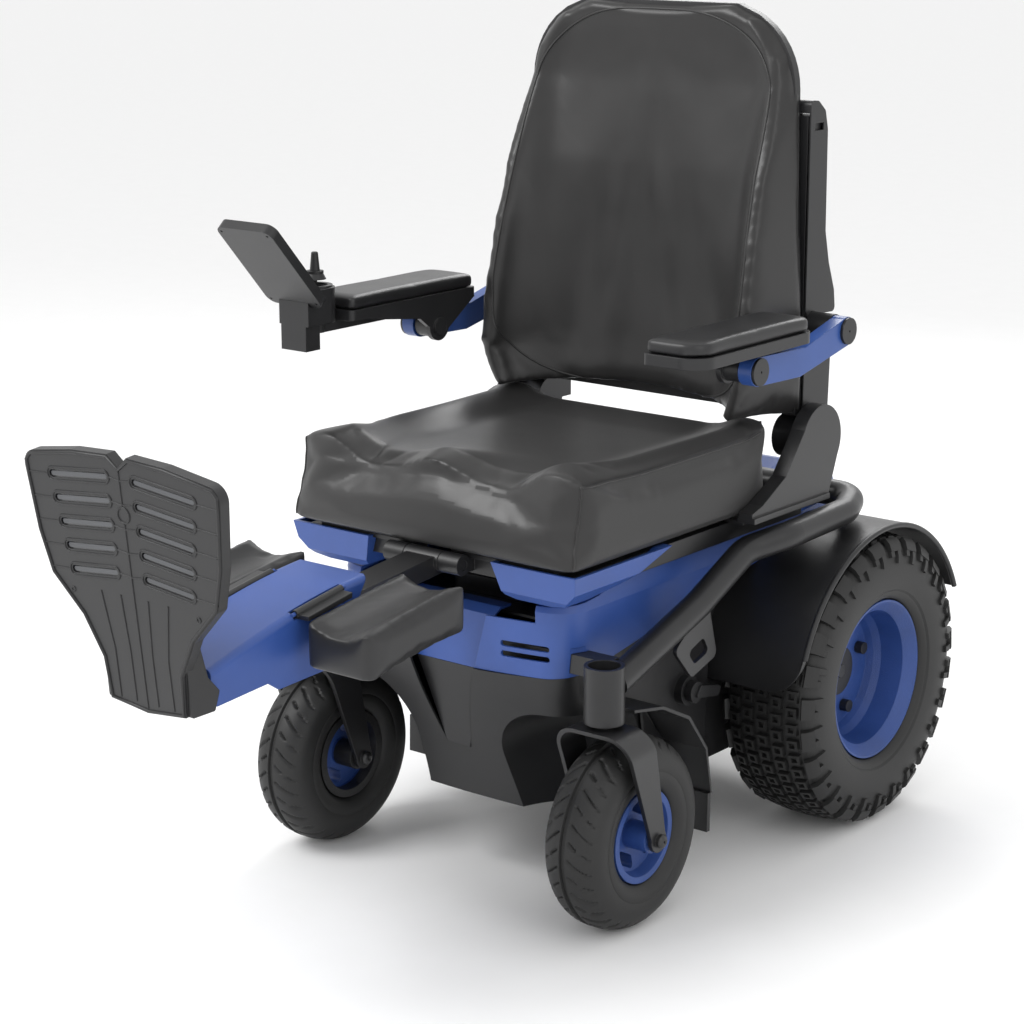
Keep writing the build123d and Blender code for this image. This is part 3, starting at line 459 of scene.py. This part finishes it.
verts, faces = block_grid(64, back_point)
backrest = piece("backrest_upholstery", verts, faces, "back", "upholstery")
settle(backrest, 0.0055, 0.005, 3.0, fixed=lambda co: co[1] > BACK_REAR + SHIFT - 0.004)
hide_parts("back_cushion", "back_shell")
tree = surface_of(backrest)
ring = []
for k in range(260):
    a = 2 * pi * k / 260
    c, s = cos(a), sin(a)
    reach = ((BACK_Z[1] - BACK_Z[0]) / 2 - 0.011) * (abs(s) ** 0.42) * (1 if s > 0 else -1)
    z = (BACK_Z[0] + BACK_Z[1]) / 2 + reach
    half = back_half(z, -1) - 0.011
    x = half * (abs(c) ** 0.42) * (1 if c > 0 else -1)
    x = max(-half, min(half, x))
    hit = tree.ray_cast(Vector((x, SHIFT, z)), Vector((0, 1, 0)))
    if hit[0] is not None:
        ring.append(hit[0] + Vector((0, -0.0003, 0)))
cord_tube("backrest_piping", ring, 0.0016, "back", "upholstery", cyclic=True)

def rear_panel():
    """The flat moulding that closes the backrest behind."""
    levels = [BACK_Z[0] + (BACK_Z[1] - BACK_Z[0]) * k / 40 for k in range(41)]
    rim = [(back_half(z, 1) - 0.002, z) for z in levels]
    rim += [(-x, z) for x, z in reversed(rim)]
    n = len(rim)
    verts = [(x, y + SHIFT, z) for y in (BACK_REAR - 0.012, BACK_REAR + 0.0008) for x, z in rim]
    faces = [tuple(range(n)), tuple(range(2 * n - 1, n - 1, -1))]
    faces += [(k, (k + 1) % n, n + (k + 1) % n, n + k) for k in range(n)]
    return verts, faces


panel = piece("backrest_rear_panel", *rear_panel(), "back", "black_shell")
soften(panel, 30)

# ---- armrest and calf pads --------------------------------------------------------------------
for name, g in SIDES:
    for node, body, voxel, cap in ((f"arm_cushion_{name}", f"pad_{name}", 0.0035, 0.002),
                                   (f"calf_pad_{name}", f"calf_{name}", 0.0035, 0.003)):
        source = frame["nodes"][node].data
        verts = [tuple(v.co) for v in source.vertices]
        faces = [tuple(p.vertices) for p in source.polygons]
        pad = piece(node + "_skin", verts, faces, body, "arm_pad")
        settle(pad, voxel, cap, 2.0)
        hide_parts(node)

# ---- tyres ----------------------------------------------------------------------------------------
def strip_block(line, s0, s1, height, radius, taper=0.0012):
    """A tread block over a (radius, x) line, between two distances round the tyre."""
    verts = []
    for k, (r, x) in enumerate(line):
        before = line[max(0, k - 1)]
        after = line[min(len(line) - 1, k + 1)]
        dr, dx = after[0] - before[0], after[1] - before[1]
        size = sqrt(dr * dr + dx * dx)
        nr, nx = abs(dx) / size, (-dr if dx >= 0 else dr) / size
        for s, h in ((s0, -0.002), (s1, -0.002), (s1 - taper, height), (s0 + taper, height)):
            a = s / radius
            rr = r + nr * h
            verts.append((x + nx * h, rr * cos(a), rr * sin(a)))
    faces = [(0, 1, 2, 3)]
    n = len(line)
    for k in range(n - 1):
        for m in range(4):
            q = (m + 1) % 4
            faces.append((4 * k + m, 4 * k + q, 4 * k + 4 + q, 4 * k + 4 + m))
    faces.append(tuple(4 * (n - 1) + m for m in (3, 2, 1, 0)))
    return verts, faces


def crown(x):
    return 0.2072 - 0.0062 * (abs(x) / 0.058) ** 2.2


def ring_block(x0, s0, half, hole, low, high, radius):
    """A square tread block with a square hollow in its top."""
    verts = []
    layers = ((half, low), (half - 0.0008, high), (hole, high), (hole - 0.0006, low + 0.0025))
    for size, height in layers:
        for dx, ds in ((-1, -1), (1, -1), (1, 1), (-1, 1)):
            x = x0 + dx * size
            r = crown(x) + height
            a = (s0 + ds * size) / radius
            verts.append((x, r * cos(a), r * sin(a)))
    faces = []
    for layer in range(3):
        for m in range(4):
            q = (m + 1) % 4
            b = 4 * layer
            faces.append((b + m, b + q, b + 4 + q, b + 4 + m))
    faces.append((12, 13, 14, 15))
    return verts, faces


def drive_tyre():
    radius = 0.2137
    carcass = [(0.1164, -0.056), (0.120, -0.0635), (0.126, -0.068), (0.130, -0.0685), (0.133, -0.0712),
               (0.146, -0.0735), (0.162, -0.0737), (0.178, -0.0725), (0.190, -0.069), (0.197, -0.064)]
    carcass += [(crown(x), x) for x in (-0.058, -0.046, -0.030, -0.015)]
    whole = carcass + [(crown(0), 0.0)] + [(r, -x) for r, x in reversed(carcass)]
    parts = [lathe(whole, (0, -SHIFT, 0), 160)]
    count = 54
    pitch = 2 * pi * radius / count
    for column in range(-2, 3):
        offset = (column % 2) * pitch / 2
        for k in range(count):
            parts.append(ring_block(column * 0.0232, k * pitch + offset, 0.0088, 0.0042, -0.002, 0.0062,
                                    radius))
    lugs = 27
    pitch = 2 * pi * radius / lugs
    for g in (1, -1):
        for k in range(lugs):
            s = k * pitch + (0 if g > 0 else pitch / 2)
            top = [(0.2045, g * 0.0595), (0.1995, g * 0.0655), (0.1895, g * 0.0700)]
            leg = [(0.1915, g * 0.0697), (0.182, g * 0.0725), (0.172, g * 0.0736)]
            parts.append(strip_block(top, s, s + 0.0335, 0.0052, radius))
            parts.append(strip_block(leg, s, s + 0.0125, 0.0034, radius))
            parts.append(strip_block(leg[:2], s + 0.021, s + 0.0335, 0.0034, radius))
    return join(parts)


def moved(mesh, x, y, z):
    verts, faces = mesh
    return [(v[0] + x, v[1] + y + SHIFT, v[2] + z) for v in verts], faces


def caster_tyre():
    steps = 620
    half = [(0.0634, 0.030), (0.066, 0.0355), (0.071, 0.0395), (0.078, 0.042), (0.086, 0.0432),
            (0.0875, 0.0424), (0.090, 0.0434), (0.098, 0.0433), (0.104, 0.0424), (0.110, 0.0402),
            (0.1155, 0.0368),
            (0.1195, 0.0330), (0.1225, 0.0292), (0.1245, 0.0262), (0.1260, 0.0232), (0.1272, 0.0203),
            (0.1281, 0.0175), (0.1288, 0.0147), (0.1293, 0.0118), (0.1296, 0.0090), (0.1298, 0.0062),
            (0.1298, 0.0044), (0.1262, 0.0028), (0.1258, 0.0)]
    profile = half + [(r, -x) for r, x in reversed(half[:-1])]
    verts, faces = lathe(profile, (0, -SHIFT, 0), steps)
    points = np.array(verts)
    x = points[:, 0]
    r = np.hypot(points[:, 1], points[:, 2])
    a = np.arctan2(points[:, 2], points[:, 1])
    count = 34
    step = 2 * pi / count
    for g in (1, -1):
        t = (g * x - 0.008) / 0.026
        centre = (0.17 * t) + (0.0 if g > 0 else step / 2)
        index = np.round((a - centre) / step)
        gap = np.abs(a - centre - index * step) * 0.128
        on = (t > 0) & (t < 1) & (r > 0.112)
        dashed = (np.mod(index, 2) == 0) & (np.abs(t - 0.5) < 0.13)
        depth = np.clip(1.6 * (1 - gap / 0.0026), 0, 1) * 0.0032 * on * ~dashed
        scale = (r - depth) / r
        points[:, 1] *= scale
        points[:, 2] *= scale
    return [tuple(p) for p in points], faces


drive_mesh = drive_tyre()
caster_mesh = caster_tyre()
for name, g in SIDES:
    placed = moved(mirrored(drive_mesh, g), g * DRIVE_X, WHEEL_Y, DRIVE_AXLE_Z)
    tyre = piece(f"drive_tyre_{name}_tread", *placed, f"drive_wheel_{name}", "tyre")
    soften(tyre, 30)
    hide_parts(f"drive_tyre_{name}")
    placed = moved(mirrored(caster_mesh, g), g * CASTER_X, CASTER_Y, CASTER_AXLE_Z)
    tyre = piece(f"caster_tyre_{name}_tread", *placed, f"caster_wheel_{name}", "tyre")
    soften(tyre, 40)
    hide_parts(f"caster_tyre_{name}")

# ---- small hardware -----------------------------------------------------------------------------
DOME = [(0.0014, 0.0), (0.0016, 0.0035), (0.0035, 0.0046), (0.0065, 0.0036), (0.0092, 0.0014),
        (0.0096, 0.0)]
FORK_FACE = 0.0648
for name, g in SIDES:
    for end, x in ((1, CASTER_X + FORK_FACE), (-1, CASTER_X - FORK_FACE)):
        verts, faces = lathe([(r, end * h) for r, h in DOME], (0, 0, 0), 40)
        verts = [(v[0] + x, v[1] + CASTER_Y, v[2] + CASTER_AXLE_Z) for v in verts]
        place = "outer" if end > 0 else "inner"
        bolt = piece(f"caster_bolt_{name}_{place}", *mirrored((verts, faces), g),
                     f"caster_fork_{name}", "bracket")
        soften(bolt, 40)

# ---- footplate --------------------------------------------------------------------------------------
FOOT_PIVOT = (-0.672, 0.400)
FOOT_LEAN = radians(6.6)
FOOT_FACE = -0.008
FOOT_RIM = [(0, 0.3985), (0.059, 0.4055), (0.063, 0.456), (0.089, 0.505), (0.133, 0.550), (0.147, 0.601),
            (0.154, 0.668), (0.155, 0.686), (0.148, 0.694), (0.075, 0.7055), (0.017, 0.7085), (0, 0.695)]
ROWS = 5


def on_foot(x, z, proud=0.0):
    """A point on the footplate's front face, given where it lies on the upright drawing."""
    y = FOOT_FACE - proud
    up = z - FOOT_PIVOT[1]
    c, s = cos(FOOT_LEAN), sin(FOOT_LEAN)
    return x, FOOT_PIVOT[0] + y * c - up * s + SHIFT, FOOT_PIVOT[1] + y * s + up * c


def slot_loop(g, row, grow):
    """A stadium round one slot."""
    cx, cz = g * (0.061 + 0.002 * row), 0.563 + 0.029 * row
    half, r = (0.078 + 0.005 * row) / 2 - 0.0045, 0.0045 + grow
    points = []
    for end, start in ((1, -pi / 2), (-1, pi / 2)):
        for k in range(9):
            a = start + pi * k / 8
            points.append((end * half + r * cos(a), r * sin(a)))
    tilt = -g * radians(6)
    c, s = cos(tilt), sin(tilt)
    return [(cx + x * c - z * s, cz + x * s + z * c) for x, z in points]


def foot_bead(name, line, radius, cyclic=False):
    """A raised line on the footplate's front face."""
    points = [on_foot(x, z) for x, z in line]
    return cord_tube(name, points, radius, "footplate", "black_shell", cyclic)


rim_line = FOOT_RIM + [(-x, z) for x, z in reversed(FOOT_RIM[1:-1])]
foot_bead("footplate_rim_bead", rim_line, 0.0024, True)
foot_bead("footplate_middle_bead", [(0, 0.402), (0, 0.630)], 0.0012)
foot_bead("footplate_upper_bead", [(0, 0.652), (0, 0.693)], 0.0012)
ring = [(0.0095 * cos(2 * pi * k / 32), 0.641 + 0.0095 * sin(2 * pi * k / 32)) for k in range(32)]
foot_bead("footplate_ring", ring, 0.0014, True)
for name, g in SIDES:
    for row in range(ROWS):
        loop = slot_loop(g, row, 0.0035)
        foot_bead(f"footplate_slot_bead_{name}_{row}", loop, 0.0013, True)
        ends = sorted(loop, key=lambda p: abs(p[0]))
        foot_bead(f"footplate_web_{name}_{row}", [(0, ends[0][1] - 0.002), ends[0]], 0.0011)
        edge_x = g * (0.138 + 0.0035 * row)
        foot_bead(f"footplate_wing_{name}_{row}", [ends[-1], (edge_x, ends[-1][1] - 0.002)], 0.0011)
        inner = slot_loop(g, row, -0.0016)
        n = len(inner)
        verts = [on_foot(x, z, h) for h in (-0.0055, -0.0015) for x, z in inner]
        faces = [tuple(range(n)), tuple(range(2 * n - 1, n - 1, -1))]
        faces += [(k, (k + 1) % n, n + (k + 1) % n, n + k) for k in range(n)]
        bar = piece(f"footplate_bar_{name}_{row}", verts, faces, "footplate", "plate_bar")
        soften(bar, 40)
    for number, x in enumerate((0.018, 0.044)):
        stem = [(g * x, 0.408), (g * x, 0.470), (g * x * 1.25, 0.540)]
        foot_bead(f"footplate_stem_{name}_{number}", stem, 0.0012)
    turns = [2 * pi * k / 16 for k in range(16)]
    screw = [(g * 0.103 + 0.003 * cos(a), 0.533 + 0.003 * sin(a)) for a in turns]
    foot_bead(f"footplate_screw_{name}", screw, 0.0011, True)

# ---- stage ------------------------------------------------------------------------------------------
floor_mesh = bpy.data.meshes.new("floor")
floor_mesh.from_pydata([(-80, -80, 0), (80, -80, 0), (80, 80, 0), (-80, 80, 0)], [], [(0, 1, 2, 3)])
floor = bpy.data.objects.new("floor", floor_mesh)
bpy.context.scene.collection.objects.link(floor)
floor_mesh.materials.append(material("pale_floor", (0.94, 0.94, 0.94), 0.8, 60, 0.0001, 0.05, 0.005))

world = bpy.data.worlds.new("studio")
bpy.context.scene.world = world
world.use_nodes = True
world.node_tree.nodes["Background"].inputs["Color"].default_value = (1, 1, 1, 1)
world.node_tree.nodes["Background"].inputs["Strength"].default_value = 0.95
bpy.context.scene.view_settings.view_transform = "Standard"


def area_light(name, place, target, size, power):
    data = bpy.data.lights.new(name, "AREA")
    data.shape = "RECTANGLE"
    data.size, data.size_y = size
    data.energy = power
    lamp = bpy.data.objects.new(name, data)
    lamp.location = place
    lamp.rotation_euler = (Vector(target) - Vector(place)).to_track_quat("-Z", "Y").to_euler()
    bpy.context.scene.collection.objects.link(lamp)


area_light("key", (-1.4, -2.2, 3.0), (0, 0, 0.5), (1.6, 1.6), 70)
area_light("fill", (3.2, -1.0, 2.2), (0, 0, 0.5), (1.5, 2.5), 16)
area_light("rim", (-0.8, 2.8, 2.6), (0, 0, 0.7), (2.0, 1.0), 40)

camera_data = bpy.data.cameras.new("camera")
camera_data.lens = 89.7
camera_data.sensor_width = 36.0
camera = bpy.data.objects.new("camera", camera_data)
camera.location = (2.080, -2.625 + SHIFT, 1.361)
look = Vector((0, SHIFT, 0.5)) - camera.location
camera.rotation_euler = look.to_track_quat("-Z", "Y").to_euler()
bpy.context.scene.collection.objects.link(camera)
bpy.context.scene.camera = camera
